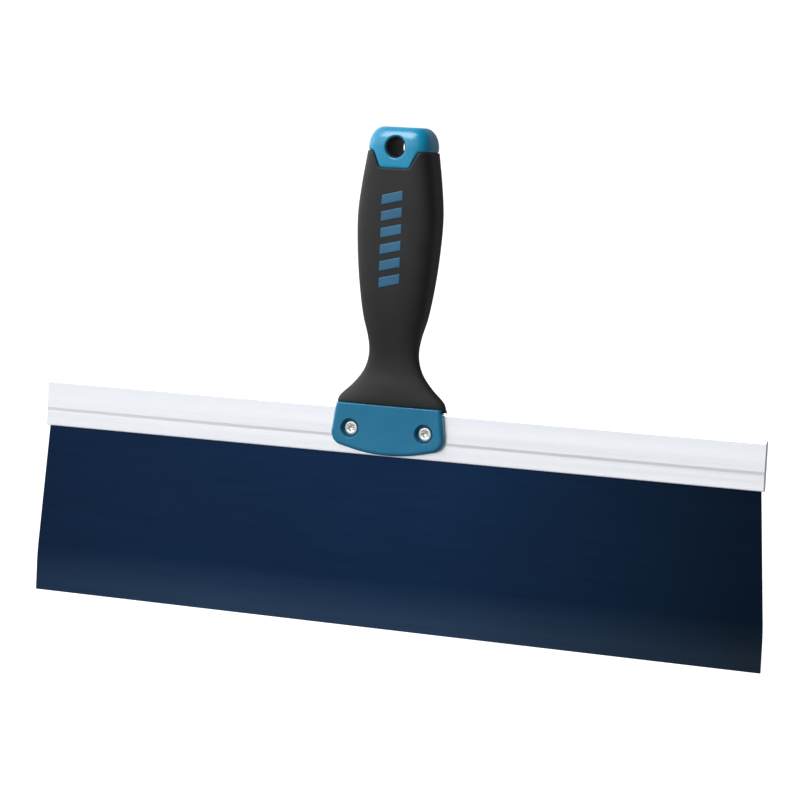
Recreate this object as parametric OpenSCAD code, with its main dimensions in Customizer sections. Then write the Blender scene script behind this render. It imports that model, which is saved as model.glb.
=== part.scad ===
// Drywall taping knife: a wide blued-steel blade in an aluminium spine, held by a moulded
// handle that straddles the spine and is clamped to it with two screws and sleeve nuts.
// +X runs along the blade, the front faces -Y and +Z runs up the handle.
// The origin is the middle of the blade's working edge.

/* [Blade] */
// Length of the working edge, a 14 inch blade
blade_len = 355.6; // [350.5:0.1:400]
// Thickness of the spring steel
blade_t = 0.5; // [0.4:0.05:0.6]
// Height from the working edge to the spine
blade_reach = 78.8; // [60:0.1:100]
// Height of the square end above each working corner
blade_end_h = 17.7; // [5:0.1:40]
// Distance each end draws in between the square end and the spine
blade_taper = 4.4; // [3.2:0.1:8]

/* [Spine] */
// Length of the aluminium spine
spine_len = 349.3; // [200:0.1:350]
// Height of the spine
spine_h = 21.6; // [20:0.1:24]
// Thickness of the spine over most of its height
spine_t = 3.0; // [2.4:0.1:3.6]
// Thickness of the thinner lip along its lower edge
lip_t = 2.8; // [2:0.1:2.9]
// Height of that lip
lip_h = 7.1; // [4:0.1:9]
// Depth that the blade reaches up into the spine
blade_grip_h = 18.2; // [16:0.1:18.4]

/* [Saddle] */
// Thickness of the saddle across both jaws
saddle_t = 9.8; // [9.6:0.1:12]
// Half width of the saddle at its widest
saddle_half_w = 27.3; // [27:0.1:30]
// Distance of the saddle's lowest point above the spine's lower edge
saddle_rise = 0.5; // [0:0.1:2]
// Height of the saddle's top above the spine
saddle_bridge = 1.6; // [1.2:0.1:3]

/* [Fixings] */
// Distance of each fixing from the middle of the blade
fixing_x = 18.0; // [14:0.1:20]
// Height of the fixings above the spine's lower edge
fixing_h = 11.7; // [11:0.1:13]
// Radius of the screw and nut heads
head_r = 3.15; // [2.8:0.05:3.6]
// Height of the screw and nut heads
head_h = 1.2; // [1.2:0.1:1.6]
// Radius of the screw's thread
thread_r = 1.75; // [1.5:0.05:1.9]
// Radius of the sleeve nut's barrel
barrel_r = 2.4; // [2.3:0.05:2.6]

/* [Handle] */
// Height of the joint between grip and end cap above the saddle
joint_h = 114.0; // [112:0.5:116]
// Height of the top of the handle above the saddle
handle_h = 124.8; // [123:0.1:128]
// Wall of soft grip over the hard core
grip_wall = 2.0; // [1.5:0.1:2.4]
// Step down from the grip to the end cap
cap_step = 0.35; // [0.1:0.05:0.6]

/* [Hang hole] */
// Radius of the clear hole through the lining
hang_r = 4.3; // [3:0.1:4.6]
// Wall of the lining
lining_t = 0.5; // [0.4:0.1:0.8]
// Height of the hole above the grip joint
hang_above_joint = 1.8; // [1:0.1:3]

/* [Hidden] */
$fn = 48;
blued = "#16294a";
silver = "#e6e8ea";
teal = "#1f7ba8";
black = "#26272a";
steel = "#c9c9c4";

// Heights above the working edge
spine_top = blade_reach + spine_h;
saddle_top = spine_top + saddle_bridge;
saddle_low = blade_reach + saddle_rise;
fixing_z = blade_reach + fixing_h;
hang_z = saddle_top + joint_h + hang_above_joint;

// How far cuts run past a face, beyond the whole object, and joined solids run into each other
past = 1;
far = 30;
overlap = 0.1;
// Running-through and seating clearances
slot_gap = 0.05;
hole_gap = 0.1;
screw_end_gap = 0.4;
nut_end_gap = 0.2;
// Spine edges
top_bevel = 1.0;
lip_bevel_h = 0.3;
lip_bevel_in = 0.1;
step_rise = 1.4;
// Counterbores in the saddle's jaws
counterbore_r = head_r + 1.25;
counterbore_depth = 2.9;
rim_bevel = 0.2;
socket_r = 1.55;
socket_depth = 0.9;
head_bevel = 0.35;
// Where each head sits, measured from the middle of the blade
seat_y = saddle_t / 2 - counterbore_depth;
// Saddle outline
base_arc_r = 76;
base_arc_half = 16;
low_corner_r = 6;
top_corner_r = 1.4;
side_lean = 1.4;
// Steps of the saddle's rounded faces: margin drawn in, and share of the half thickness reached
PILLOW = [[0, 0.76], [0.35, 0.93], [1.2, 1]];
// The grip's end lips stand in notches at the saddle's top corners
lip_x = 25.2;
lip_half_d = 3.5;
lip_wide = 1.2;
// Lining and rim of the hang hole
lining_inset = 0.75;
hang_rim = 0.4;
// Emblem on the grip: height of its lowest bar above the saddle, and the bars
emblem_h = 53;
emblem_proud = 0.2;
bar_half_w = 5;
bar_h = 4.4;
bar_lean = 2.4;
bar_pitch = 7.4;
bar_count = 6;

// Handle stations: height above the saddle, half width, half depth, squareness of the section
STATIONS = [
    [0.0, 26.4, 4.6, 2.7],
    [3.0, 25.1, 5.0, 2.4],
    [8.5, 19.3, 4.9, 2.3],
    [14.0, 14.8, 4.3, 2.5],
    [19.0, 12.5, 4.4, 2.8],
    [24.5, 11.6, 5.2, 3.0],
    [31.0, 12.3, 6.6, 3.2],
    [40.0, 14.7, 8.3, 3.2],
    [53.0, 16.7, 9.8, 3.4],
    [68.0, 18.2, 10.6, 3.6],
    [85.0, 18.8, 11.0, 3.8],
    [99.0, 17.4, 11.2, 3.9],
    [114.0, 15.0, 11.3, 4.0]
];
LAST = len(STATIONS) - 1;
STATION_TOP = STATIONS[LAST][0];

// The slope of a column at a station: the rise to its neighbours over their distance
function slope(i, col) =
    let (a = max(i - 1, 0), b = min(i + 1, LAST))
    (STATIONS[b][col] - STATIONS[a][col]) / (STATIONS[b][0] - STATIONS[a][0]);

// The station at or below a height
function below(h, i = 0) = (i >= LAST - 1 || h < STATIONS[i + 1][0]) ? i : below(h, i + 1);

// A column at any height, on the smooth cubic through the stations
function along(h, col) =
    let (
        g = min(max(h, 0), STATION_TOP),
        i = below(g),
        span = STATIONS[i + 1][0] - STATIONS[i][0],
        t = (g - STATIONS[i][0]) / span
    )
    (2 * t * t * t - 3 * t * t + 1) * STATIONS[i][col]
    + (t * t * t - 2 * t * t + t) * span * slope(i, col)
    + (3 * t * t - 2 * t * t * t) * STATIONS[i + 1][col]
    + (t * t * t - t * t) * span * slope(i + 1, col);

// A rounded section: |x / w| to the power n plus |y / d| to the power n is one
SIDES = 36;
function section(h, w, d, n) = [
    for (i = [0:SIDES - 1])
        let (c = cos(360 * i / SIDES), s = sin(360 * i / SIDES))
        [w * sign(c) * pow(abs(c), 2 / n), d * sign(s) * pow(abs(s), 2 / n), saddle_top + h]
];
function handle_ring(h, grow) = section(h, along(h, 1) + grow, along(h, 2) + grow, along(h, 3));

// The cap follows the grip, a step inside it, and its top edge rounds over on an ellipse
round_h = joint_h + 2;
cap_draw_w = 5.8;
cap_draw_d = 6.2;
function cap_draw(h) =
    h < round_h ? 0 : 1 - sqrt(max(0, 1 - pow((h - round_h) / (handle_h - round_h), 2)));
function cap_ring(h) = section(
    h,
    along(h, 1) - cap_step - cap_draw_w * cap_draw(h),
    along(h, 2) - cap_step - cap_draw_d * cap_draw(h),
    along(h, 3)
);

// The cap's tab: half width, and depth below the joint
TAB = [[7.0, 7.6], [8.0, 6.2], [11.6, 0]];
tab_cover = 10;

// Heights of the rings that the core and the grip share
RING_COUNT = 26;
RINGS = [for (k = [0:RING_COUNT]) k * (joint_h + past) / RING_COUNT];

// Side faces between ring k and ring k + 1, for points that start at an offset
function wall(rings, from, flip) = [
    for (k = [0:rings - 2], i = [0:SIDES - 1])
        let (
            a = from + k * SIDES + i,
            b = from + k * SIDES + (i + 1) % SIDES
        )
        flip ? [a, b, b + SIDES, a + SIDES] : [a + SIDES, b + SIDES, b, a]
];

// A closed solid through a list of rings, from the lowest to the highest
module loft(rings) {
    count = len(rings);
    foot = [for (i = [0:SIDES - 1]) i];
    head = [for (i = [0:SIDES - 1]) count * SIDES - 1 - i];
    polyhedron([for (r = rings) each r], concat(wall(count, 0, false), [foot, head]));
}

// The same with an inner wall through a second list of rings
module tube(outer, inner) {
    count = len(outer);
    n = count * SIDES;
    foot = [
        for (i = [0:SIDES - 1])
            let (j = (i + 1) % SIDES)
            [i, j, n + j, n + i]
    ];
    head = [
        for (i = [0:SIDES - 1])
            let (j = (i + 1) % SIDES, top = n - SIDES)
            [top + j, top + i, n + top + i, n + top + j]
    ];
    polyhedron(
        concat([for (r = outer) each r], [for (r = inner) each r]),
        concat(wall(count, 0, false), wall(count, n, true), foot, head)
    );
}

// Turns an outline drawn in X and Z into a slab between two depths
module slab(y0, y1) {
    translate([0, y1, 0])
        rotate([90, 0, 0])
            linear_extrude(y1 - y0)
                children();
}

// A cylinder along Y from one depth to another, at a fixing or the hang hole
module along_y(x, z, y0, y1, r) {
    translate([x, y1, z])
        rotate([90, 0, 0])
            cylinder(h = y1 - y0, r = r);
}

// A cone along Y from radius r0 at depth y0 to radius r1 at depth y1
module cone_y(x, z, y0, y1, r0, r1) {
    translate([x, y1, z])
        rotate([90, 0, 0])
            cylinder(h = y1 - y0, r1 = r1, r2 = r0);
}

// The blade: square ends at the working edge, then tapering in, with its top inside the spine
module blade() {
    half = blade_len / 2;
    inner = half - blade_taper;
    color(blued)
        difference() {
            slab(-blade_t / 2, blade_t / 2)
                polygon([
                    [-half, 0], [half, 0], [half, blade_end_h], [inner, blade_reach],
                    [inner, blade_reach + blade_grip_h], [-inner, blade_reach + blade_grip_h],
                    [-inner, blade_reach], [-half, blade_end_h]
                ]);
            for (x = [-fixing_x, fixing_x])
                along_y(x, fixing_z, -blade_t, blade_t, barrel_r + hole_gap);
        }
}

// One side of the spine's profile, from the slot round the outside to the top, as depth and height
function spine_side() = [
    [blade_t / 2 + slot_gap, blade_reach],
    [lip_t / 2 - lip_bevel_in, blade_reach],
    [lip_t / 2, blade_reach + lip_bevel_h],
    [lip_t / 2, blade_reach + lip_h],
    [spine_t / 2, blade_reach + lip_h + step_rise],
    [spine_t / 2, spine_top - top_bevel],
    [spine_t / 2 - top_bevel / 2, spine_top]
];

// The spine: an extruded channel with a slot for the blade
module spine() {
    side = spine_side();
    slot_top = blade_reach + blade_grip_h + slot_gap;
    back = [for (p = side) p];
    front = [for (i = [len(side) - 1:-1:0]) [-side[i][0], side[i][1]]];
    slot = [[-blade_t / 2 - slot_gap, slot_top], [blade_t / 2 + slot_gap, slot_top]];
    color(silver)
        difference() {
            translate([-spine_len / 2, 0, 0])
                rotate([90, 0, 90])
                    linear_extrude(spine_len)
                        polygon(concat(back, front, slot));
            for (x = [-fixing_x, fixing_x])
                along_y(x, fixing_z, -spine_t, spine_t, barrel_r + hole_gap);
        }
}

// The saddle's outline drawn in by a margin: a shallow arc below, round corners, leaning sides
module saddle_outline(margin) {
    corner_x = saddle_half_w - low_corner_r;
    corner_z = saddle_low + low_corner_r + base_arc_r - sqrt(pow(base_arc_r, 2) - pow(corner_x, 2));
    intersection() {
        translate([0, saddle_low + base_arc_r])
            circle(r = base_arc_r - margin, $fn = 160);
        translate([-base_arc_half, saddle_low])
            square([2 * base_arc_half, low_corner_r]);
    }
    for (side = [-1, 1]) {
        translate([side * corner_x, corner_z])
            circle(r = low_corner_r - margin, $fn = 32);
        translate([side * (saddle_half_w - side_lean - top_corner_r - margin), saddle_top - top_corner_r])
            circle(r = top_corner_r - margin / 4, $fn = 24);
    }
}

// The saddle as one pillow: drawn in a little more at each step towards its faces
module saddle_pillow() {
    hull()
        for (s = PILLOW)
            slab(-saddle_t / 2 * s[1], saddle_t / 2 * s[1])
                saddle_outline(s[0]);
}

// Room in the saddle for the spine, the grip's end lips and the fixings
module saddle_room() {
    notch_w = saddle_half_w - lip_x;
    translate([-saddle_half_w - past, -spine_t / 2, saddle_low - past])
        cube([2 * (saddle_half_w + past), spine_t, spine_top - saddle_low + past]);
    for (x = [-lip_x - notch_w, lip_x])
        translate([x, -saddle_t, spine_top])
            cube([notch_w, 2 * saddle_t, saddle_bridge + past]);
    for (x = [-fixing_x, fixing_x]) {
        along_y(x, fixing_z, -saddle_t, saddle_t, barrel_r + hole_gap);
        along_y(x, fixing_z, seat_y, saddle_t, counterbore_r);
        along_y(x, fixing_z, -saddle_t, -seat_y, counterbore_r);
        cone_y(x, fixing_z, saddle_t / 2 - rim_bevel, saddle_t / 2 + rim_bevel,
            counterbore_r, counterbore_r + 2 * rim_bevel);
        cone_y(x, fixing_z, -saddle_t / 2 - rim_bevel, -saddle_t / 2 + rim_bevel,
            counterbore_r + 2 * rim_bevel, counterbore_r);
    }
}

// Outline of everything that belongs to the cap: all above the joint, and a tab below it
module cap_outline() {
    joint_z = saddle_top + joint_h;
    right = [for (p = TAB) [p[0], joint_z - p[1]]];
    left = [for (i = [len(TAB) - 1:-1:0]) [-TAB[i][0], joint_z - TAB[i][1]]];
    polygon(concat(
        left, right,
        [[far, joint_z], [far, joint_z + far], [-far, joint_z + far], [-far, joint_z]]
    ));
}

// The cap: its lower rings are a step inside the grip, and the outline keeps only the tab of them
module cap() {
    straight = [for (h = [joint_h - tab_cover:2:round_h - past]) cap_ring(h)];
    domed = [for (a = [0:10:90]) cap_ring(round_h + (handle_h - round_h) * sin(a))];
    intersection() {
        loft(concat(straight, domed));
        slab(-far, far)
            cap_outline();
    }
}

// The hard core: saddle, shank and cap in one moulding
module handle_core() {
    hang_y = along(joint_h, 2) - cap_step;
    color(teal)
        difference() {
            union() {
                difference() {
                    saddle_pillow();
                    saddle_room();
                }
                loft([for (h = concat([-past], RINGS)) handle_ring(h, -grip_wall)]);
                cap();
            }
            along_y(0, hang_z, -far, far, hang_r + lining_t);
            cone_y(0, hang_z, hang_y - hang_rim, hang_y + hang_rim,
                hang_r + lining_t, hang_r + lining_t + 2 * hang_rim);
            cone_y(0, hang_z, -hang_y - hang_rim, -hang_y + hang_rim,
                hang_r + lining_t + 2 * hang_rim, hang_r + lining_t);
        }
}

// The soft grip: a sleeve moulded over the shank, open for the cap's tabs, with an end lip each side
module grip() {
    color(black)
        difference() {
            union() {
                tube([for (h = RINGS) handle_ring(h, 0)], [for (h = RINGS) handle_ring(h, -grip_wall)]);
                for (x = [-lip_x - lip_wide, lip_x])
                    translate([x, -lip_half_d, spine_top])
                        cube([lip_wide, 2 * lip_half_d, saddle_bridge]);
            }
            slab(-far, far)
                cap_outline();
        }
}

// The black lining of the hang hole
module hang_hole_lining() {
    half = along(joint_h, 2) - cap_step - hang_rim - lining_inset;
    color(black)
        difference() {
            along_y(0, hang_z, -half, half, hang_r + lining_t);
            along_y(0, hang_z, -half - past, half + past, hang_r);
        }
}

// A plain emblem of leaning bars, standing just proud of the front of the grip
module grip_emblem() {
    first_h = emblem_h - bar_pitch;
    last_h = emblem_h + (bar_count + 1) * bar_pitch;
    shared = [for (h = RINGS) if (h > first_h && h < last_h) h];
    low = saddle_top + emblem_h;
    color(teal)
        difference() {
            intersection() {
                loft([for (h = shared) handle_ring(h, emblem_proud)]);
                slab(-far, 0)
                    for (k = [0:bar_count - 1])
                        translate([0, low + k * bar_pitch])
                            polygon([
                                [-bar_half_w, 0], [bar_half_w, bar_lean],
                                [bar_half_w, bar_lean + bar_h], [-bar_half_w, bar_h]
                            ]);
            }
            loft([for (h = shared) handle_ring(h, 0)]);
        }
}

// A round head with a bevelled rim and a six-sided socket, facing +Z with its seat at zero
module socket_head() {
    difference() {
        union() {
            cylinder(h = head_h - head_bevel, r = head_r);
            translate([0, 0, head_h - head_bevel])
                cylinder(h = head_bevel, r1 = head_r, r2 = head_r - head_bevel);
        }
        translate([0, 0, head_h - socket_depth])
            cylinder(h = socket_depth + past, r = socket_r, $fn = 6);
    }
}

// A socket-head screw, put in from the front
module screw(x) {
    reach = 2 * seat_y - screw_end_gap;
    color(steel)
        translate([x, -seat_y, fixing_z])
            rotate([90, 0, 0]) {
                socket_head();
                translate([0, 0, -reach])
                    cylinder(h = reach + overlap, r = thread_r);
            }
}

// A sleeve nut, put in from the back: its barrel passes through the spine and the blade
module sleeve_nut(x) {
    reach = 2 * seat_y - nut_end_gap;
    color(steel)
        translate([x, seat_y, fixing_z])
            rotate([-90, 0, 0])
                difference() {
                    union() {
                        socket_head();
                        translate([0, 0, -reach])
                            cylinder(h = reach + overlap, r = barrel_r);
                    }
                    translate([0, 0, -reach - past])
                        cylinder(h = reach + past, r = thread_r);
                }
}

blade();
spine();
handle_core();
grip();
hang_hole_lining();
grip_emblem();
screw(-fixing_x);  // screw_left
screw(fixing_x);  // screw_right
sleeve_nut(-fixing_x);  // sleeve_nut_left
sleeve_nut(fixing_x);  // sleeve_nut_right
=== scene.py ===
import math

import bmesh
import bpy
import numpy as np
from mathutils import Matrix, Vector
from mathutils.geometry import delaunay_2d_cdt


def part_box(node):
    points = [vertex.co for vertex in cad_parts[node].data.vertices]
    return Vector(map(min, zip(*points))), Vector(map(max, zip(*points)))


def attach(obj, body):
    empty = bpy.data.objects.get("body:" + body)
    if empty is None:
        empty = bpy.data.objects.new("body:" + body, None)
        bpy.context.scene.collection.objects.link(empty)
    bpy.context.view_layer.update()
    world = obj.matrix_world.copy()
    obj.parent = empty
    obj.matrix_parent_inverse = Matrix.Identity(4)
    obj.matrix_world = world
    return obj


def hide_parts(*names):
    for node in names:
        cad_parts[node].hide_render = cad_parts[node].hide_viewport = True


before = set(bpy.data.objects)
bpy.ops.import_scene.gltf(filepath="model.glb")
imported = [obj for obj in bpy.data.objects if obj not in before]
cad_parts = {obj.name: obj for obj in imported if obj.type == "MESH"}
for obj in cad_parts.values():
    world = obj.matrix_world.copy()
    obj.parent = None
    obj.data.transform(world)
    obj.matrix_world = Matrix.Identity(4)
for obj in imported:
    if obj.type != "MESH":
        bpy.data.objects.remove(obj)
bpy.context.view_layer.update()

# ------------------------------------------------------------------------------ Blade
# A sheet of spring steel, sheared to shape and tempered blue, with both faces brushed along
# its length. The working edge is below, and the top goes up into the slot of the spine,
# where two sleeve nuts pass through it.
MM = 0.001
# Points of one piece closer than this are one point, in millimetres
WELD_DISTANCE = 0.0004


def box_mm(node):
    """The lowest and the highest corner of a CAD node, in millimetres."""
    low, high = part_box(node)
    return np.array(low) / MM, np.array(high) / MM


def eased(corners, reach, steps=6):
    """A closed outline with soft corners: each corner P gives way to the curve
    (1-t)^2 A + 2t(1-t) P + t^2 B, where A and B lie `reach` before and after it."""
    corner = np.asarray(corners, float)
    before = corner - np.roll(corner, 1, axis=0)
    after = np.roll(corner, -1, axis=0) - corner
    step = np.broadcast_to(reach, len(corner))[:, None]
    a = corner - step * before / np.linalg.norm(before, axis=1, keepdims=True)
    b = corner + step * after / np.linalg.norm(after, axis=1, keepdims=True)
    t = np.linspace(0, 1, steps + 1)[None, :, None]
    curve = (1 - t) ** 2 * a[:, None] + 2 * t * (1 - t) * corner[:, None] + t**2 * b[:, None]
    return curve.reshape(-1, 2)


def circle(centre, radius, count=64, turn=1):
    """Points round a circle, counter-clockwise for turn 1 and clockwise for turn -1."""
    a = turn * np.linspace(0, 2 * np.pi, count, endpoint=False)
    return np.asarray(centre) + radius * np.stack([np.cos(a), np.sin(a)], axis=1)


def drawn_in(loop, distance):
    """An outline moved to its own left, which is inwards on a counter-clockwise one: with n and m
    the normals of a point's two edges, the point moves by 2d (n + m) / |n + m|^2."""
    edge = np.roll(loop, -1, axis=0) - loop
    edge = edge / np.linalg.norm(edge, axis=1, keepdims=True)
    normal = np.stack([-edge[:, 1], edge[:, 0]], axis=1)
    both = normal + np.roll(normal, 1, axis=0)
    return loop + 2 * distance * both / (both**2).sum(axis=1, keepdims=True)


def on_plane(loop, y):
    """Points of an outline in X and Z, put at depth y."""
    return np.stack([loop[:, 0], np.broadcast_to(y, len(loop)), loop[:, 1]], axis=1)


def wall(rows, smooth=True):
    """Quads between rows of points, shaped (row, point, 3), where each row is a closed ring."""
    rows = np.asarray(rows, float)
    count, n = rows.shape[:2]
    k, i = np.meshgrid(np.arange(count - 1), np.arange(n), indexing="ij")
    j = (i + 1) % n
    quads = np.stack([k * n + i, (k + 1) * n + i, (k + 1) * n + j, k * n + j], axis=-1)
    return rows.reshape(-1, 3), quads.reshape(-1, 4), smooth


def filled(loops):
    """Triangles inside the first flat outline and outside the others, as numbers of their
    points taken in order. It is a Delaunay triangulation that keeps every outline's edges, and
    a triangle with all its corners on one round hole lies in that hole."""
    points = np.concatenate(loops)
    owner = np.repeat(np.arange(len(loops)), [len(loop) for loop in loops])
    start = 0
    edges = []
    for loop in loops:
        i = np.arange(len(loop))
        edges.append(start + np.stack([i, (i + 1) % len(loop)], axis=1))
        start += len(loop)
    edges = np.concatenate(edges).tolist()
    inside = 1
    _, _, found, source, _, _ = delaunay_2d_cdt(list(map(Vector, points)), edges, [], inside, 1e-7)
    triangles = np.array([s[0] for s in source])[np.array(found)]
    first = owner[triangles[:, 0]]
    in_hole = (first > 0) & (owner[triangles] == first[:, None]).all(axis=1)
    return triangles[~in_hole]


def flat_face(loops, y):
    """A flat face at depth y inside the first outline, with the other outlines as holes."""
    return on_plane(np.concatenate(loops), y), filled(loops), False


def make_piece(name, patches, node, material):
    """One closed mesh from patches of (points in millimetres, faces, smooth). Points that lie
    together are welded, and the piece takes the place of its CAD node on the one body."""
    points = np.concatenate([p[0] for p in patches]) * MM
    faces = []
    start = 0
    for p in patches:
        faces += (p[1] + start).tolist()
        start += len(p[0])
    mesh = bpy.data.meshes.new(name)
    mesh.from_pydata(points, [], faces)
    smooth = np.concatenate([np.full(len(p[1]), p[2]) for p in patches])
    mesh.polygons.foreach_set("use_smooth", smooth)
    weld = bmesh.new()
    weld.from_mesh(mesh)
    bmesh.ops.remove_doubles(weld, verts=weld.verts, dist=WELD_DISTANCE * MM)
    bmesh.ops.recalc_face_normals(weld, faces=weld.faces)
    if weld.calc_volume(signed=True) < 0:
        bmesh.ops.reverse_faces(weld, faces=weld.faces)
    weld.to_mesh(mesh)
    weld.free()
    mesh.materials.append(material)
    made = bpy.data.objects.new(name, mesh)
    bpy.context.scene.collection.objects.link(made)
    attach(made, "root")
    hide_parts(node)


def put(tree, kind, inputs=(), **settings):
    """Adds a shader node. `settings` are its properties, and `inputs` pairs sockets with a value
    or with another node's output, which is linked."""
    node = tree.nodes.new("ShaderNode" + kind)
    for name, value in settings.items():
        setattr(node, name, value)
    for key, value in dict(inputs).items():
        if isinstance(value, bpy.types.NodeSocket):
            tree.links.new(value, node.inputs[key])
        else:
            node.inputs[key].default_value = value
    return node


def blended(tree, amount, first, second):
    """The colour between two colours, by an amount from 0 to 1."""
    mix = put(tree, "Mix", {0: amount, 6: first, 7: second}, data_type="RGBA")
    return mix.outputs[2]


def ranged(tree, value, start, end, low, high):
    """A value carried from the range start to end on to low to high, and held at the ends."""
    inputs = {"Value": value, "From Min": start, "From Max": end, "To Min": low, "To Max": high}
    return put(tree, "MapRange", inputs).outputs[0]


def new_group(name, inputs, outputs):
    """An empty node group with float inputs and outputs, and its two end nodes."""
    tree = bpy.data.node_groups.new(name, "ShaderNodeTree")
    for label in inputs:
        tree.interface.new_socket(name=label, in_out="INPUT", socket_type="NodeSocketFloat")
    for label in outputs:
        tree.interface.new_socket(name=label, in_out="OUTPUT", socket_type="NodeSocketFloat")
    return tree, tree.nodes.new("NodeGroupInput"), tree.nodes.new("NodeGroupOutput")


def new_material(name):
    """A material with its Principled shader already wired to the output."""
    made = bpy.data.materials.new(name)
    made.use_nodes = True
    return made, made.node_tree, made.node_tree.nodes["Principled BSDF"]


# Lines that brushing or the extrusion die leaves along X: noise squeezed across them, in a
# fine set and in a broad one. Pitch is the number of fine lines in a metre.
lines, lines_in, lines_out = new_group("drawn_lines", ["Pitch", "Length"], ["Fine", "Broad"])
place = put(lines, "TexCoord").outputs["Object"]
apart = put(lines, "SeparateXYZ", {0: place})
for label, share in (("Fine", 1.0), ("Broad", 0.13)):
    across = put(lines, "Math", {0: lines_in.outputs["Pitch"], 1: share}, operation="MULTIPLY")
    length = lines_in.outputs["Length"]
    along_x = put(lines, "Math", {0: apart.outputs[0], 1: length}, operation="MULTIPLY")
    along_y = put(lines, "Math", {0: apart.outputs[1], 1: across.outputs[0]}, operation="MULTIPLY")
    along_z = put(lines, "Math", {0: apart.outputs[2], 1: across.outputs[0]}, operation="MULTIPLY")
    along = {0: along_x.outputs[0], 1: along_y.outputs[0], 2: along_z.outputs[0]}
    spot = put(lines, "CombineXYZ", along)
    noise = put(lines, "TexNoise", {"Vector": spot.outputs[0], "Scale": 1.0, "Detail": 3.0})
    lines.links.new(noise.outputs["Fac"], lines_out.inputs[label])

blued, tree, shader = new_material("blued_spring_steel")
brushed = put(tree, "Group", node_tree=lines)
brushed.inputs["Pitch"].default_value = 3200.0
brushed.inputs["Length"].default_value = 22.0
place = put(tree, "TexCoord").outputs["Object"]
apart = put(tree, "SeparateXYZ", {0: place})
cloud = put(tree, "TexNoise", {"Vector": place, "Scale": 9.0, "Detail": 2.0})
# The blue is painted palest along the working edge, which is a painted reflection of the floor, and
# painted darker towards both ends, which is painted shade
painted_reflection_band = ranged(tree, apart.outputs[2], 0.022, 0.004, 0.0, 1.0)
far_end_shade = ranged(tree, apart.outputs[0], 0.03, 0.17, 0.0, 1.0)
near_end_shade = ranged(tree, apart.outputs[0], -0.09, -0.178, 0.0, 1.0)
tone = blended(tree, ranged(tree, cloud.outputs["Fac"], 0.35, 0.65, 0.0, 1.0),
               (0.0092, 0.0252, 0.067, 1), (0.0092, 0.0302, 0.082, 1))
# Painted shade towards both ends, and a painted reflection of the floor along the working edge
tone = blended(tree, far_end_shade, tone, (0.0048, 0.0115, 0.025, 1))
painted_reflection_tone = blended(tree, far_end_shade, (0.029, 0.058, 0.115, 1), (0.016, 0.028, 0.046, 1))
painted_reflection_tone = blended(tree, near_end_shade, painted_reflection_tone, (0.019, 0.041, 0.088, 1))
tone = blended(tree, near_end_shade, tone, (0.0085, 0.021, 0.056, 1))
tone = blended(tree, painted_reflection_band, tone, painted_reflection_tone)
streak = ranged(tree, brushed.outputs["Broad"], 0.3, 0.7, 0.94, 1.06)
tone = put(tree, "VectorMath", {0: tone, 1: streak}, operation="MULTIPLY").outputs[0]
tree.links.new(tone, shader.inputs["Base Color"])
tree.links.new(ranged(tree, brushed.outputs["Fine"], 0.3, 0.7, 0.3, 0.42), shader.inputs["Roughness"])
relief = put(tree, "Bump", {"Strength": 0.16, "Distance": 0.00004, "Height": brushed.outputs["Fine"]})
tree.links.new(relief.outputs[0], shader.inputs["Normal"])
shader.inputs["Metallic"].default_value = 1.0

_, BLADE_HIGH = box_mm("blade")
SPINE_LOW, SPINE_HIGH = box_mm("spine")
SCREW_LOW, SCREW_HIGH = box_mm("screw_right")
BLADE_END_HEIGHT = 17.7
BLADE_TAPER = 4.4
BLADE_EDGE = 0.12
FIXING_X = (SCREW_LOW[0] + SCREW_HIGH[0]) / 2
FIXING_Z = (SCREW_LOW[2] + SCREW_HIGH[2]) / 2
FIXINGS = [(-FIXING_X, FIXING_Z), (FIXING_X, FIXING_Z)]
BARREL_HOLE = 2.5
# A strip this wide lies flat beside each rounded edge, so that the flat face meets it cleanly
STRIP = 0.25

half_x = BLADE_HIGH[0]
inner_x = half_x - BLADE_TAPER
right_side = [
    (half_x, 0), (half_x, BLADE_END_HEIGHT), (inner_x, SPINE_LOW[2]), (inner_x, BLADE_HIGH[2])
]
left_side = [(-x, z) for x, z in reversed(right_side)]
corner_ease = [0.5, 5, 2, 0.5]
blade_loop = eased(right_side + left_side, corner_ease + corner_ease[::-1])
blade_holes = [circle(c, BARREL_HOLE, turn=-1) for c in FIXINGS]


def rounded_edge(radius, strip, steps=5):
    """A quarter round as (distance in from the edge, distance below the face), from a strip on
    the face: r(1 - sin a) and r(1 - cos a) for a from 0 to 90 degrees."""
    a = np.linspace(0, np.pi / 2, steps)
    inward = np.append(radius + strip, radius * (1 - np.sin(a)))
    down = np.append(0, radius * (1 - np.cos(a)))
    return inward, down


inward, down = rounded_edge(BLADE_EDGE, STRIP)
half_y = BLADE_HIGH[1]
inward = np.append(inward, inward[::-1])
depth = np.append(down - half_y, half_y - down[::-1])
sheet = []
for loop in [blade_loop] + blade_holes:
    sheet.append(wall([on_plane(drawn_in(loop, d), y) for d, y in zip(inward, depth)]))
faces = [drawn_in(loop, inward[0]) for loop in [blade_loop] + blade_holes]
sheet += [flat_face(faces, -half_y), flat_face(faces, half_y)]
make_piece("taping_blade", sheet, "blade", blued)

# ------------------------------------------------------------------------------ Spine
# An extruded aluminium channel that stiffens the blade. It keeps the die's fine lines along its
# length, has a very slightly thinner lip below, and was sawn to length with its ends eased.
SPINE_SLOT = 0.3
SPINE_SLOT_TOP = 97.05
LIP_HALF = 1.4
LIP_HEIGHT = 7.1
LIP_BEVEL = 0.3
LIP_BEVEL_IN = 0.1
STEP_RISE = 1.4
TOP_BEVEL = 1.0
SPINE_EDGE = 0.06
SPINE_STRIP = 0.02
SPINE_EASE = 0.16
SLOT_EASE = 0.12

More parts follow.
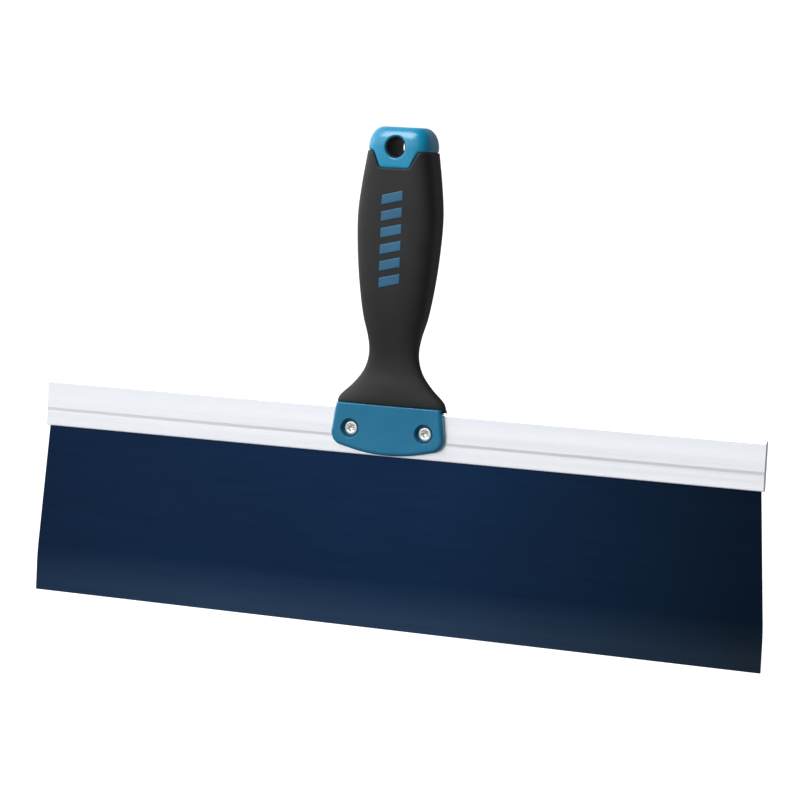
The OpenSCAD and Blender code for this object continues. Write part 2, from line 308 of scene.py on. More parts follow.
aluminium, tree, shader = new_material("drawn_aluminium")
drawn = put(tree, "Group", node_tree=lines)
drawn.inputs["Pitch"].default_value = 2400.0
drawn.inputs["Length"].default_value = 3.0
shade = ranged(tree, drawn.outputs["Broad"], 0.3, 0.7, 0.0, 1.0)
tone = blended(tree, shade, (0.9, 0.925, 0.985, 1), (0.95, 0.97, 1.0, 1))
tree.links.new(tone, shader.inputs["Base Color"])
tree.links.new(ranged(tree, drawn.outputs["Fine"], 0.3, 0.7, 0.3, 0.42), shader.inputs["Roughness"])
relief = put(tree, "Bump", {"Strength": 0.12, "Distance": 0.00004, "Height": drawn.outputs["Fine"]})
tree.links.new(relief.outputs[0], shader.inputs["Normal"])
shader.inputs["Metallic"].default_value = 1.0

half_y = SPINE_HIGH[1]
low_z, high_z = SPINE_LOW[2], SPINE_HIGH[2]
back_side = [
    (SPINE_SLOT, low_z),
    (LIP_HALF - LIP_BEVEL_IN, low_z),
    (LIP_HALF, low_z + LIP_BEVEL),
    (LIP_HALF, low_z + LIP_HEIGHT),
    (half_y, low_z + LIP_HEIGHT + STEP_RISE),
    (half_y, high_z - TOP_BEVEL),
    (half_y - TOP_BEVEL / 2, high_z),
]
front_side = [(-y, z) for y, z in reversed(back_side)]
slot_end = [(-SPINE_SLOT, SPINE_SLOT_TOP), (SPINE_SLOT, SPINE_SLOT_TOP)]
ease = np.full(len(back_side) * 2 + 2, SPINE_EASE)
# The corners of the slot and of the two edges beside it are a little sharper
ease[[0, 1, -4, -3, -2, -1]] = SLOT_EASE
profile = eased(back_side + front_side + slot_end, ease, steps=4)

inward, down = rounded_edge(SPINE_EDGE, SPINE_STRIP)
reach = SPINE_HIGH[0]
ends_in = np.concatenate([inward, [0], [0], inward[::-1]])
ends_x = np.concatenate([
    down - reach,
    [STRIP + SPINE_EDGE - reach, reach - STRIP - SPINE_EDGE],
    reach - down[::-1],
])
rings = np.stack([
    np.stack([np.full(len(profile), x), *drawn_in(profile, d).T], axis=1)
    for x, d in zip(ends_x, ends_in)
])
points, quads, _ = wall(rings)
# The long flats are shaded flat, and the four that the fixings pass through are cut by them
middle = len(inward)
count = len(profile)
in_middle = np.arange(len(quads)) // count == middle
length = np.linalg.norm(np.roll(profile, -1, axis=0) - profile, axis=1)
spans_hole = (profile[:, 1] - FIXING_Z) * (np.roll(profile[:, 1], -1) - FIXING_Z) < 0
column = np.arange(len(quads)) % count
flat = in_middle & (length[column] > 2 * STRIP)
pierced = flat & spans_hole[column]
spine_patches = [(points, quads[~flat], True), (points, quads[flat & ~pierced], False)]
for i in np.flatnonzero(spans_hole):
    y, ends = profile[i, 0], np.sort([profile[i, 1], profile[(i + 1) % count, 1]])
    x = ends_x[middle + 1]
    panel = np.array([(-x, ends[0]), (x, ends[0]), (x, ends[1]), (-x, ends[1])])
    spine_patches.append(flat_face([panel] + [circle(c, BARREL_HOLE) for c in FIXINGS], y))
for side in (-1, 1):
    for c in FIXINGS:
        hole = circle(c, BARREL_HOLE)
        spine_patches.append(wall([on_plane(hole, side * half_y), on_plane(hole, side * SPINE_SLOT)]))
cap_loop = drawn_in(profile, inward[0])
for x in (-reach, reach):
    end_points = np.stack([np.full(count, x), *cap_loop.T], axis=1)
    spine_patches.append((end_points, filled([cap_loop]), False))
make_piece("aluminium_spine", spine_patches, "spine", aluminium)

# ------------------------------------------------------------------------------ Saddle, shank and cap
# One hard moulding in teal polypropylene. The saddle stands astride the spine, the shank runs up
# inside the soft grip, and the end cap shows above it, with a tab that comes down on each face.
CORE_LOW, CORE_HIGH = box_mm("handle_core")
LINING_LOW, LINING_HIGH = box_mm("hang_hole_lining")
NUT_LOW, _ = box_mm("sleeve_nut_right")
SADDLE_HALF_Y = 4.9
SADDLE_TOP = 102.0
SADDLE_HALF_X = CORE_HIGH[0]
SADDLE_BASE_RADIUS = 76.0
SADDLE_BASE_HALF = 16.0
SADDLE_CORNER = 6.0
# Where the round corner starts, in degrees below level
SADDLE_CORNER_START = 76
SADDLE_TOP_CORNER = 1.4
SADDLE_LEAN = 1.4
SADDLE_ROUND = 1.8
LIP_X = 25.2
SEAT_Y = 2.0
COUNTERBORE = 4.4
RIM_BEVEL = 0.2

# Moulded skin: a fine even grain, and a slow unevenness in the sheen. Grain is in grains a metre
skin, skin_in, skin_out = new_group("moulded_skin", ["Grain"], ["Grain", "Sheen"])
place = put(skin, "TexCoord").outputs["Object"]
noise = put(skin, "TexNoise", {"Vector": place, "Scale": skin_in.outputs["Grain"], "Detail": 2.0})
skin.links.new(noise.outputs["Fac"], skin_out.inputs["Grain"])
slow = put(skin, "TexNoise", {"Vector": place, "Scale": 70.0, "Detail": 2.0})
skin.links.new(slow.outputs["Fac"], skin_out.inputs["Sheen"])

teal, tree, shader = new_material("teal_polypropylene")
moulded = put(tree, "Group", node_tree=skin)
moulded.inputs["Grain"].default_value = 2600.0
swirl = ranged(tree, moulded.outputs["Sheen"], 0.35, 0.65, 0.0, 1.0)
# The colour is painted deepest on the saddle and lighter up to the cap: painted shade below, and painted
# light on the cap, where the light from above falls
place = put(tree, "TexCoord").outputs["Object"]
painted_light_to_cap = ranged(tree, put(tree, "SeparateXYZ", {0: place}).outputs[2], 0.1, 0.21, 0.0, 1.0)
shaded_teal = blended(tree, swirl, (0.001, 0.125, 0.238, 1), (0.003, 0.138, 0.258, 1))
light = blended(tree, swirl, (0.0, 0.2, 0.365, 1), (0.002, 0.22, 0.395, 1))
# Painted shade on the saddle, painted light up on the cap
tone = blended(tree, painted_light_to_cap, shaded_teal, light)
tree.links.new(tone, shader.inputs["Base Color"])
tree.links.new(ranged(tree, moulded.outputs["Sheen"], 0.3, 0.7, 0.2, 0.26), shader.inputs["Roughness"])
relief = put(tree, "Bump", {"Strength": 0.1, "Distance": 0.00003, "Height": moulded.outputs["Grain"]})
tree.links.new(relief.outputs[0], shader.inputs["Normal"])
shader.inputs["Specular IOR Level"].default_value = 0.5


def arc(centre, radius, start, end, steps):
    """Points on a circle from one angle to another, in degrees."""
    a = np.radians(np.linspace(start, end, steps))
    return np.asarray(centre) + radius * np.stack([np.cos(a), np.sin(a)], axis=1)


def saddle_outline(margin):
    """Half of the saddle's outline, mirrored to make the whole. From the middle below: a shallow
    arc, a round corner, a side that leans in, a notch at the top of the spine, a small corner
    and the top. All of it is drawn in by the margin, and the top by a quarter of it."""
    low_z, radius = CORE_LOW[2], SADDLE_BASE_RADIUS
    corner_x = SADDLE_HALF_X - SADDLE_CORNER
    corner_z = low_z + SADDLE_CORNER + radius - math.sqrt(radius**2 - corner_x**2)
    x = np.linspace(0, SADDLE_BASE_HALF, 12)
    base = np.stack([x, low_z + radius - np.sqrt((radius - margin) ** 2 - x**2)], axis=1)
    lean = math.degrees(math.atan(SADDLE_LEAN / (SADDLE_TOP - corner_z)))
    low_corner = arc((corner_x, corner_z), SADDLE_CORNER - margin, -SADDLE_CORNER_START, lean, 14)
    top_x = SADDLE_HALF_X - SADDLE_LEAN - SADDLE_TOP_CORNER - margin
    top = arc((top_x, SADDLE_TOP - SADDLE_TOP_CORNER), SADDLE_TOP_CORNER - margin / 4, lean, 90, 10)
    a, b = low_corner[-1], top[0]
    notch = a + (b - a) * (SPINE_HIGH[2] - a[1]) / (b[1] - a[1])
    top[:, 0] = np.minimum(top[:, 0], LIP_X)
    right = np.concatenate([base, low_corner, [notch], [(min(notch[0], LIP_X), notch[1])], top])
    left = right[:0:-1] * (-1, 1)
    return np.concatenate([right, left])


a = np.linspace(0, np.pi / 2, 9)
round_in = SADDLE_ROUND * (1 - np.cos(a))
round_y = SADDLE_HALF_Y - SADDLE_ROUND * (1 - np.sin(a))
jaw_in = np.concatenate([[0], round_in, [SADDLE_ROUND + STRIP]])
jaw_y = np.concatenate([[SPINE_HIGH[1]], round_y, [SADDLE_HALF_Y]])
outer = saddle_outline(0)
below = outer[:, 1] <= SPINE_HIGH[2] + 1e-6
bridge = [on_plane(outer, -SPINE_HIGH[1]), on_plane(outer, SPINE_HIGH[1])]
points, quads, _ = wall(bridge)
above = ~below[quads[:, 0] % len(outer)] | ~below[quads[:, 3] % len(outer)]
saddle = [(points, quads[above], False)]
inward, down = rounded_edge(RIM_BEVEL, STRIP)
bore_r = np.concatenate([COUNTERBORE + inward, [COUNTERBORE, BARREL_HOLE, BARREL_HOLE]])
bore_y = np.concatenate([SADDLE_HALF_Y - down, [SEAT_Y, SEAT_Y, SPINE_HIGH[1]]])
ends = np.flatnonzero(below & (np.roll(below, -1) != below))[0]
jaw_loop = np.roll(outer, -ends - 1, axis=0)
jaw_loop = jaw_loop[np.roll(below, -ends - 1)]
for side in (-1, 1):
    saddle.append(wall([on_plane(saddle_outline(d), side * y) for d, y in zip(jaw_in, jaw_y)]))
    front = [saddle_outline(jaw_in[-1])] + [circle(c, bore_r[0]) for c in FIXINGS]
    saddle.append(flat_face(front, side * SADDLE_HALF_Y))
    hidden = [jaw_loop] + [circle(c, BARREL_HOLE) for c in FIXINGS]
    saddle.append(flat_face(hidden, side * SPINE_HIGH[1]))
    for c in FIXINGS:
        rows = [on_plane(circle(c, r), side * y) for r, y in zip(bore_r, bore_y)]
        saddle.append(wall(rows[:-2]))
        saddle.append(wall(rows[-3:], smooth=False))
x = jaw_loop[[0, -1], 0]
y = SPINE_HIGH[1]
roof = np.array([(x[0], -y, SPINE_HIGH[2]), (x[1], -y, SPINE_HIGH[2]),
                 (x[1], y, SPINE_HIGH[2]), (x[0], y, SPINE_HIGH[2])])
saddle.append((roof, np.array([[0, 1, 2, 3]]), False))

# Stations of the handle: height above the saddle, half width, half depth, squareness
STATIONS = np.array([
    (0.0, 26.4, 4.6, 2.7),
    (3.0, 25.1, 5.0, 2.4),
    (8.5, 19.3, 4.9, 2.3),
    (14.0, 14.8, 4.3, 2.5),
    (19.0, 12.5, 4.4, 2.8),
    (24.5, 11.6, 5.2, 3.0),
    (31.0, 12.3, 6.6, 3.2),
    (40.0, 14.7, 8.3, 3.2),
    (53.0, 16.7, 9.8, 3.4),
    (68.0, 18.2, 10.6, 3.6),
    (85.0, 18.8, 11.0, 3.8),
    (99.0, 17.4, 11.2, 3.9),
    (114.0, 15.0, 11.3, 4.0),
])
JOINT = STATIONS[-1, 0]
GRIP_WALL = 2.0
CAP_STEP = 0.35
CAP_ROUND = JOINT + 2
CAP_DRAW_X = 5.8
CAP_DRAW_Y = 6.2
HANDLE_TOP = CORE_HIGH[2] - SADDLE_TOP
HOLE_H = (LINING_LOW[2] + LINING_HIGH[2]) / 2 - SADDLE_TOP
HOLE_R = (LINING_HIGH[2] - LINING_LOW[2]) / 2
HOLE_RIM = 0.8
SIDES = 180
# Half width across the cap's tab, and the tab's depth below the joint there
TAB = np.array([
    (0.0, 7.6), (6.6, 7.6), (7.5, 7.2), (8.2, 6.1), (9.9, 2.8), (11.0, 0.8), (12.0, 0.1), (13.0, 0.0)
])
# The cap's lower edge is rounded, and dips this far into the top of the grip
CAP_EDGE = 1.3
CAP_DIP = 0.3


def table_at(table, place):
    """The columns of a table at any place along its first one, on the cubic through the rows
    whose slope at each is that of the line joining its neighbours. The ends are held."""
    x, y = table[:, 0], table[:, 1:]
    rise = np.concatenate([y[1:2] - y[:1], y[2:] - y[:-2], y[-1:] - y[-2:-1]])
    run = np.concatenate([x[1:2] - x[:1], x[2:] - x[:-2], x[-1:] - x[-2:-1]])
    slope = rise / run[:, None]
    held = np.clip(place, x[0], x[-1])
    i = np.clip(np.searchsorted(x, held, side="right") - 1, 0, len(x) - 2)
    span = (x[i + 1] - x[i])[..., None]
    t = (held - x[i])[..., None] / span
    return (
        (2 * t**3 - 3 * t**2 + 1) * y[i] + (t**3 - 2 * t**2 + t) * span * slope[i]
        + (3 * t**2 - 2 * t**3) * y[i + 1] + (t**3 - t**2) * span * slope[i + 1]
    )


def handle_size(h, inset):
    """Half width, half depth and squareness at height h, an inset in from the grip's surface.
    Above the joint the sides draw in on a quarter ellipse, to round the cap over."""
    w, d, n = np.moveaxis(table_at(STATIONS, h), -1, 0)
    rise = np.clip((h - CAP_ROUND) / (HANDLE_TOP - CAP_ROUND), 0, 1)
    draw = 1 - np.sqrt(1 - rise**2)
    return w - inset - CAP_DRAW_X * draw, d - inset - CAP_DRAW_Y * draw, n


def handle_point(angle, h, inset):
    """The point of the rounded section |x/w|^n + |y/d|^n = 1 at an angle: w cos a and d sin a
    over (|cos a|^n + |sin a|^n)^(1/n), at height h above the saddle."""
    angle, h, inset = np.broadcast_arrays(angle, h, inset)
    w, d, n = handle_size(h, inset)
    c, s = np.cos(angle), np.sin(angle)
    k = (np.abs(c) ** n + np.abs(s) ** n) ** (-1 / n)
    return np.stack([w * c * k, d * s * k, SADDLE_TOP + h], axis=-1)


def handle_depth(x, h, inset):
    """How far the section's surface stands from the middle plane at x: d (1 - |x/w|^n)^(1/n)."""
    w, d, n = handle_size(h, inset)
    return d * (1 - np.clip(np.abs(x / w), 0, 1) ** n) ** (1 / n)


angles = 2 * np.pi * np.arange(SIDES) / SIDES
# The joint between grip and cap drops to the tab's outline in front and at the back. Across the
# slope of that outline, a distance takes more height by sqrt(1 + slope^2)
JOINT_ROUNDS = 8
SLOPE_RUN_LEAST = 0.05
SLOPE_MOST = 2.0
joint_h = np.full(SIDES, JOINT)
for _ in range(JOINT_ROUNDS):
    x = handle_point(angles, joint_h, 0.0)[:, 0]
    joint_h = JOINT - table_at(TAB, np.abs(x))[:, 0]
slant = np.gradient(joint_h) / np.maximum(np.abs(np.gradient(x)), SLOPE_RUN_LEAST)
steepness = np.sqrt(1 + np.minimum(slant**2, SLOPE_MOST**2))

# From the foot: the shank, the ledge over the grip, the cap's rounded edge, its sides and its dome
SHANK_ROWS = 46
CAP_SIDE_ROWS = 31
DOME_STEP = 3
share = np.linspace(0, 1, SHANK_ROWS)[:, None]
ledge_h = joint_h - CAP_DIP
shank = handle_point(angles, share * (ledge_h + 1) - 1, GRIP_WALL)
a = np.linspace(np.pi / 2, 0, 7)[:, None]
edge_h = ledge_h + CAP_EDGE * (1 - np.sin(a)) * steepness
edge = handle_point(angles, edge_h, CAP_STEP + CAP_EDGE * (1 - np.cos(a)))
share = np.linspace(0, 1, CAP_SIDE_ROWS)[1:, None]
sides = handle_point(angles, edge_h[-1] + share * (CAP_ROUND - edge_h[-1]), CAP_STEP)
dome_h = CAP_ROUND + (HANDLE_TOP - CAP_ROUND) * np.sin(np.radians(np.arange(DOME_STEP, 91, DOME_STEP)))
dome = handle_point(angles, dome_h[:, None], CAP_STEP)
crown = dome[-1] * np.array([(s, s, 1) for s in (0.9, 0.6, 0.3, 0.0)])[:, None]
core = np.concatenate([shank, edge, sides, dome, crown])
points, quads, _ = wall(core)
# A window in the front and back of the cap is left out of the grid, for the patch round the hole
WINDOW = np.radians(34.5)
ROWS_BELOW_WINDOW = 5
WINDOW_ABOVE_HOLE = 2.0
row_low = len(shank) + len(edge) + ROWS_BELOW_WINDOW
window_top = HOLE_H + HOLE_R + WINDOW_ABOVE_HOLE
row_high = len(core) - len(crown) - len(dome) + np.searchsorted(dome_h, window_top)
row, column = quads[:, 0] // SIDES, quads[:, 0] % SIDES
from_front = np.abs(np.abs(angles[column] + np.pi / SIDES - np.pi) - np.pi / 2)
in_window = (row >= row_low) & (row < row_high) & (from_front < WINDOW)
moulding = saddle + [(points, quads[~in_window], True)]
foot = core[0]
moulding.append((foot, filled([foot[:, :2]]), False))
left = np.searchsorted(angles, 1.5 * np.pi - WINDOW)
right = np.searchsorted(angles, 1.5 * np.pi + WINDOW, side="right") - 1
frame_edge = np.concatenate([
    core[row_low, left:right], core[row_low:row_high, right],
    core[row_high, right:left:-1], core[row_high:row_low:-1, left],
])
hole_z = SADDLE_TOP + HOLE_H
outward = np.arctan2(frame_edge[:, 2] - hole_z, frame_edge[:, 0])
ray = np.stack([np.cos(outward), np.sin(outward)], axis=1)
patch = [frame_edge]
rim = ray * (HOLE_R + HOLE_RIM)
for share in (0.75, 0.5, 0.3, 0.15, 0.05, 0.0):
    x, z = (rim + share * (frame_edge[:, [0, 2]] - (0, hole_z) - rim)).T
    patch.append(np.stack([x, -handle_depth(x, z + HOLE_H, CAP_STEP), z + hole_z], axis=1))
rim_y = patch[-1][:, 1]
for a in np.radians(np.arange(15, 91, 15)):
    x, z = (ray * (HOLE_R + HOLE_RIM * (1 - np.sin(a)))).T
    patch.append(np.stack([x, rim_y + HOLE_RIM * (1 - np.cos(a)), z + hole_z], axis=1))
patch.append(patch[-1] * (1, 0, 1))
patch = np.stack(patch)
moulding += [wall(patch), wall(patch * (1, -1, 1))]
make_piece("teal_moulding", moulding, "handle_core", teal)

# ------------------------------------------------------------------------------ Soft grip
# Black thermoplastic rubber moulded over the shank. Its lip stands a little proud of the cap and
# runs round the tabs, and below, an end tongue goes down each side of the saddle's bridge.
GRIP_EDGE = 0.6
GRIP_GAP = 0.02
GRIP_ROWS = 121

rubber, tree, shader = new_material("soft_grip_rubber")
moulded = put(tree, "Group", node_tree=skin)
moulded.inputs["Grain"].default_value = 4200.0
swirl = ranged(tree, moulded.outputs["Sheen"], 0.35, 0.65, 0.0, 1.0)
tone = blended(tree, swirl, (0.0105, 0.0108, 0.0118, 1), (0.0135, 0.0138, 0.015, 1))
tree.links.new(tone, shader.inputs["Base Color"])
tree.links.new(ranged(tree, moulded.outputs["Grain"], 0.3, 0.7, 0.5, 0.62), shader.inputs["Roughness"])
relief = put(tree, "Bump", {"Strength": 0.25, "Distance": 0.00005, "Height": moulded.outputs["Grain"]})
tree.links.new(relief.outputs[0], shader.inputs["Normal"])
shader.inputs["Specular IOR Level"].default_value = 0.3

share = np.linspace(0, 1, GRIP_ROWS)[:, None]
a = np.linspace(0, np.pi / 2, 6)[:, None]
lip_in = GRIP_EDGE * (1 - np.cos(a))
lip_up = GRIP_EDGE * (1 - np.sin(a))
body_h = GRIP_EDGE + share * (joint_h - GRIP_EDGE * steepness - GRIP_EDGE)
outside = handle_point(angles, body_h, 0.0)
top_lip = handle_point(angles, joint_h - lip_up * steepness, lip_in)[1:]
inside = handle_point(angles, share[::-1] * joint_h, GRIP_WALL - GRIP_GAP)
low_lip = handle_point(angles, lip_up, lip_in)[:0:-1]
# The tongues: where the side passes the saddle's corner, it goes on down to the spine's top
tongue = np.abs(outside[0][:, 0]) > LIP_X
low_lip[:, tongue] = outside[0][tongue]
tip = low_lip[0].copy()
tip[tongue, 2] = SPINE_HIGH[2]
across = tip.copy()
across[tongue, 0] = np.copysign(LIP_X, tip[tongue, 0])
root = across.copy()
root[tongue, 2] = SADDLE_TOP
foot_rows = np.stack([inside[-1], root, across, tip])
make_piece("soft_grip", [wall(np.concatenate([foot_rows, low_lip, outside, top_lip, inside]))],
           "grip", rubber)

# ------------------------------------------------------------------------------ Hang-hole lining
# A short black sleeve of the same rubber, moulded into the hole through the cap. Its ends are
# rounded and lie just inside the rim, which follows the curve of the cap.
LINING_WALL = 0.5
LINING_INSET = 0.2
lining_end = -(rim_y + HOLE_RIM + LINING_INSET)
a = np.linspace(0, np.pi, 9)
ring_r = HOLE_R - LINING_WALL / 2 * (1 - np.cos(a))
ring_down = LINING_WALL / 2 * (1 - np.sin(a))
rows = []
for side in (-1, 1):
    for r, d in list(zip(ring_r, ring_down))[::side]:
        x, z = (ray * r).T
        rows.append(np.stack([x, side * (lining_end - d), z + hole_z], axis=1))
lining_rows = np.stack(rows + rows[:1])
make_piece("hole_lining", [wall(lining_rows)], "hang_hole_lining", rubber)

# ------------------------------------------------------------------------------ Emblem
# Six plain leaning bars of the teal plastic, which stand just proud of the front of the grip.
EMBLEM_LOW, EMBLEM_HIGH = box_mm("grip_emblem")
BAR_HALF = EMBLEM_HIGH[0]
BAR_HEIGHT = 4.4
BAR_LEAN = 2.4
BAR_PITCH = 7.4
BAR_PROUD = 0.2
BAR_ROOT = -0.15
BAR_COUNT = 6

# Lines across each bar gather at its edges, where the height above the grip rises from the root
edge_in = np.array([0.0, 0.06, 0.14, 0.26])
edge_up = np.array([BAR_ROOT, 0.1, 0.17, BAR_PROUD])


def bar_lines(half, count):
    """Places from -half to half: the edge's own steps, and even ones between them."""
    inner = np.linspace(-half + edge_in[-1], half - edge_in[-1], count)
    return np.concatenate([-half + edge_in[:-1], inner, (half - edge_in[:-1])[::-1]])


u, v = np.meshgrid(bar_lines(BAR_HALF, 25), bar_lines(BAR_HEIGHT / 2, 9))
up = np.minimum(np.interp(BAR_HALF - np.abs(u), edge_in, edge_up),
                np.interp(BAR_HEIGHT / 2 - np.abs(v), edge_in, edge_up))
bars = []
for k in range(BAR_COUNT):
    bar_middle = EMBLEM_LOW[2] - SADDLE_TOP + BAR_HEIGHT / 2 + k * BAR_PITCH
    h = bar_middle + v + BAR_LEAN * (u + BAR_HALF) / (2 * BAR_HALF)
    surface = handle_depth(u, h, 0.0)
    i = np.arange(u.size).reshape(u.shape)
    quads = np.stack([i[:-1, :-1], i[:-1, 1:], i[1:, 1:], i[1:, :-1]], axis=-1).reshape(-1, 4)
    for height in (up, np.full_like(up, BAR_ROOT)):
        grid = np.stack([u, -surface - height, h + SADDLE_TOP], axis=-1)
        bars.append((grid.reshape(-1, 3), quads, True))

mark, tree, shader = new_material("teal_emblem")
moulded = put(tree, "Group", node_tree=skin)
moulded.inputs["Grain"].default_value = 2600.0
swirl = ranged(tree, moulded.outputs["Sheen"], 0.35, 0.65, 0.0, 1.0)
tone = blended(tree, swirl, (0.008, 0.092, 0.18, 1), (0.012, 0.105, 0.205, 1))
tree.links.new(tone, shader.inputs["Base Color"])
tree.links.new(ranged(tree, moulded.outputs["Sheen"], 0.3, 0.7, 0.4, 0.5), shader.inputs["Roughness"])
make_piece("leaning_bars", bars, "grip_emblem", mark)

# ------------------------------------------------------------------------------ Screws and sleeve nuts
# Nickel-plated steel. Each screw goes in from the front and runs up inside a sleeve nut, whose
# barrel passes through spine and blade from the back. Both heads have a round rim and a hex socket.
HEAD_R = (SCREW_HIGH[0] - SCREW_LOW[0]) / 2
HEAD_HEIGHT = -SCREW_LOW[1] - SEAT_Y
HEAD_ROUND = 0.55
SOCKET_R = 1.55
SOCKET_DEPTH = 0.9
SOCKET_FLOOR_DIP = 0.15
SOCKET_FOOT = 0.02
SOCKET_RIM = 0.12
SOCKET_RIM_MID = 0.04
HEAD_SEAT_EDGE = 0.12
THREAD_R = 1.75
BARREL_R = 2.4
THREAD_EDGE = 0.3
BARREL_EDGE = 0.2
BARREL_MOUTH = 0.1
TURNS = 72

plated, tree, shader = new_material("bright_plated_steel")
place = put(tree, "TexCoord").outputs["Object"]
haze = put(tree, "TexNoise", {"Vector": place, "Scale": 900.0, "Detail": 3.0})
tone = blended(tree, haze.outputs["Fac"], (0.74, 0.74, 0.73, 1), (0.88, 0.88, 0.86, 1))
tree.links.new(tone, shader.inputs["Base Color"])
tree.links.new(ranged(tree, haze.outputs["Fac"], 0.3, 0.7, 0.2, 0.3), shader.inputs["Roughness"])
shader.inputs["Metallic"].default_value = 1.0

turn = 2 * np.pi * np.arange(TURNS) / TURNS
# A hexagon's radius at each angle: the distance to its flats over the cosine from their middle
hexagon = math.cos(math.pi / 6) / np.cos((turn + np.pi / 6) % (np.pi / 3) - np.pi / 6)


def turned(rows, centre_x, facing):
    """Rows of (radius, height) turned round the fixing's axis. Height is measured from the
    seat, out towards the side that `facing` gives."""
    out = []
    for r, height in rows:
        x, z = centre_x + r * np.cos(turn), FIXING_Z + r * np.sin(turn)
        out.append(np.stack([x, np.full(TURNS, facing * (SEAT_Y + height)), z], axis=1))
    return wall(out)


a = np.linspace(np.pi / 2, 0, 7)
rim_rows = [
    (HEAD_R - HEAD_ROUND * (1 - np.cos(b)), HEAD_HEIGHT - HEAD_ROUND * (1 - np.sin(b)))
    for b in a
]
socket = [
    (0.0, HEAD_HEIGHT - SOCKET_DEPTH - SOCKET_FLOOR_DIP),
    (hexagon * SOCKET_R, HEAD_HEIGHT - SOCKET_DEPTH),
    (hexagon * SOCKET_R, HEAD_HEIGHT - SOCKET_DEPTH + SOCKET_FOOT),
    (hexagon * SOCKET_R, HEAD_HEIGHT - SOCKET_RIM),
    (hexagon * (SOCKET_R + SOCKET_RIM_MID), HEAD_HEIGHT - SOCKET_RIM_MID),
    (hexagon * (SOCKET_R + SOCKET_RIM), HEAD_HEIGHT),
]
head = socket + rim_rows + [(HEAD_R, HEAD_SEAT_EDGE), (HEAD_R - HEAD_SEAT_EDGE, 0.0)]
screw_reach = SCREW_HIGH[1] + SEAT_Y
nut_reach = SEAT_Y - NUT_LOW[1]
thread = [
    (THREAD_R, 0.0),
    (THREAD_R, THREAD_EDGE - screw_reach),
    (THREAD_R - THREAD_EDGE, -screw_reach),
    (0.0, -screw_reach),
]
sleeve = [
    (BARREL_R, 0.0),
    (BARREL_R, BARREL_EDGE - nut_reach),
    (BARREL_R - BARREL_EDGE, -nut_reach),
    (THREAD_R + BARREL_MOUTH, -nut_reach),
    (THREAD_R, BARREL_MOUTH - nut_reach),
    (THREAD_R, 0.0),
    (0.0, 0.0),
]
for side, x in (("left", -FIXING_X), ("right", FIXING_X)):
    screw = [turned(head + thread, x, -1)]
    nut = [turned(head + sleeve, x, 1)]
    make_piece("screw_head_" + side, screw, "screw_" + side, plated)
    make_piece("nut_head_" + side, nut, "sleeve_nut_" + side, plated)

# ------------------------------------------------------------------------------ Studio
# A pale floor under the working edge, a surround that is brightest on the left and faint
# behind, a weak soft light on the left and a stronger one above and in front.
FLOOR_HALF = 30.0
studio_floor = bpy.data.meshes.new("studio_floor")
corners = [(x * FLOOR_HALF, y * FLOOR_HALF, 0) for x, y in ((-1, -1), (1, -1), (1, 1), (-1, 1))]
studio_floor.from_pydata(corners, [], [(0, 1, 2, 3)])
floor = bpy.data.objects.new("studio_floor", studio_floor)
bpy.context.scene.collection.objects.link(floor)
pale, tree, shader = new_material("pale_floor")
shader.inputs["Base Color"].default_value = (0.32, 0.32, 0.32, 1)
shader.inputs["Roughness"].default_value = 0.9
shader.inputs["Specular IOR Level"].default_value = 0.1
shader.inputs["Emission Color"].default_value = (1, 1, 1, 1)
camera_ray = put(tree, "LightPath").outputs["Is Camera Ray"]
floor_glow = put(tree, "Math", {0: camera_ray, 1: 0.95}, operation="MULTIPLY")
tree.links.new(floor_glow.outputs[0], shader.inputs["Emission Strength"])
studio_floor.materials.append(pale)


def soft_light(name, place, aim, size, power):
    """A square area light at a place, turned to face a point."""
    light = bpy.data.lights.new(name, "AREA")
    light.shape = "SQUARE"
    light.size = size
    light.energy = power
    lamp = bpy.data.objects.new(name, light)
    turned_to_aim = (Vector(place) - Vector(aim)).to_track_quat("Z", "Y").to_matrix().to_4x4()
    lamp.matrix_world = Matrix.Translation(place) @ turned_to_aim
    bpy.context.scene.collection.objects.link(lamp)


middle = (0.0, 0.0, 0.12)
soft_light("left_softbox", (-1.7, -0.45, 0.6), middle, 1.0, 4.0)
soft_light("top_softbox", (-0.45, -0.85, 1.55), middle, 0.9, 24.0)

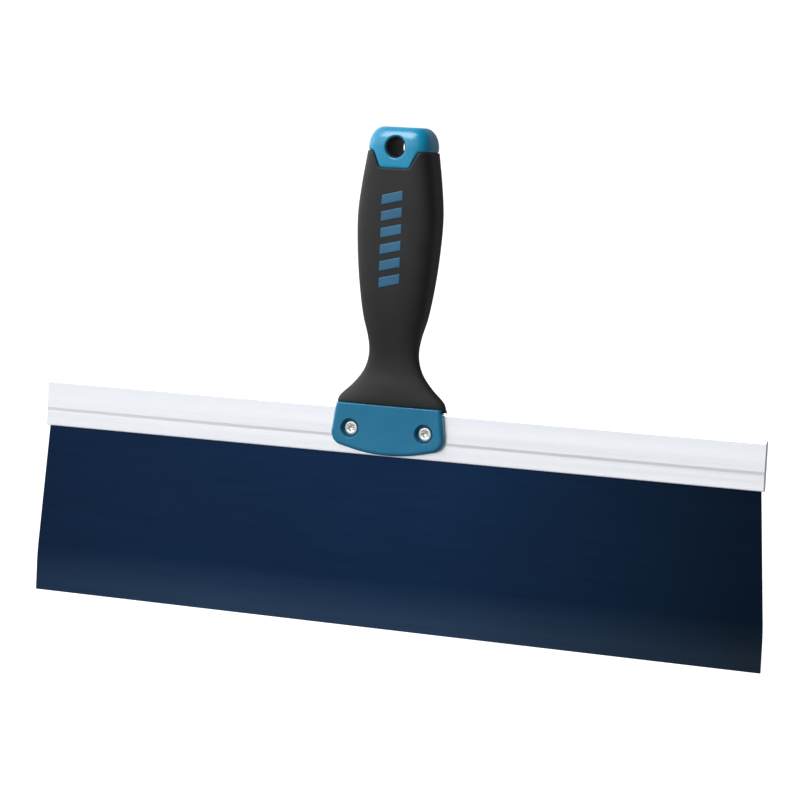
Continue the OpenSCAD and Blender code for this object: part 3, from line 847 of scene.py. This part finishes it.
world = bpy.data.worlds.new("studio")
bpy.context.scene.world = world
world.use_nodes = True
tree = world.node_tree
tree.nodes.clear()
direction = put(tree, "TexCoord").outputs["Generated"]
towards = put(tree, "VectorMath", {0: direction, 1: (-0.93, -0.37, 0.0)}, operation="DOT_PRODUCT")
sideways = ranged(tree, towards.outputs["Value"], -0.25, 0.6, 0.13, 2.0)
height = put(tree, "SeparateXYZ", {0: direction}).outputs[2]
glow = put(tree, "Math", {0: sideways, 1: ranged(tree, height, 0.4, 1.0, 1.0, 0.4)}, operation="MULTIPLY")
behind = ranged(tree, put(tree, "SeparateXYZ", {0: direction}).outputs[1], 0.3, 0.9, 0.0, 0.3)
glow = put(tree, "Math", {0: glow.outputs[0], 1: behind}, operation="MAXIMUM")
lit = put(tree, "Background", {"Color": (1, 1, 1, 1), "Strength": glow.outputs[0]})
seen = put(tree, "Background", {"Color": (1, 1, 1, 1), "Strength": 1.05})
camera_ray = put(tree, "LightPath").outputs["Is Camera Ray"]
both = put(tree, "MixShader", {0: camera_ray, 1: lit.outputs[0], 2: seen.outputs[0]})
put(tree, "OutputWorld", {"Surface": both.outputs[0]})

# ------------------------------------------------------------------------------ Camera
# It stands to the right of the front, a little above the blade, and is turned slightly in its frame.
CAMERA_AIM = Vector((4.01, 0.0, 104.7)) * MM
CAMERA_DISTANCE = 1344.0 * MM
CAMERA_YAW = math.radians(22.12)
CAMERA_RISE = math.radians(5.10)
CAMERA_ROLL = math.radians(2.85)
SENSOR_WIDTH = 36.0
FOCAL_LENGTH = 134.5
back = Vector((
    math.sin(CAMERA_YAW) * math.cos(CAMERA_RISE),
    -math.cos(CAMERA_YAW) * math.cos(CAMERA_RISE),
    math.sin(CAMERA_RISE),
))
level = Vector((math.cos(CAMERA_YAW), math.sin(CAMERA_YAW), 0.0))
upward = back.cross(level)
right_axis = level * math.cos(CAMERA_ROLL) + upward * math.sin(CAMERA_ROLL)
up_axis = upward * math.cos(CAMERA_ROLL) - level * math.sin(CAMERA_ROLL)
lens = bpy.data.cameras.new("camera")
lens.sensor_width = SENSOR_WIDTH
lens.lens = FOCAL_LENGTH
lens.clip_start = 0.01
lens.clip_end = 100.0
camera = bpy.data.objects.new("camera", lens)
camera.matrix_world = Matrix.Translation(CAMERA_AIM + back * CAMERA_DISTANCE) @ Matrix(
    (right_axis, up_axis, back)
).transposed().to_4x4()
bpy.context.scene.collection.objects.link(camera)
bpy.context.scene.camera = camera
bpy.context.scene.view_settings.view_transform = "Standard"
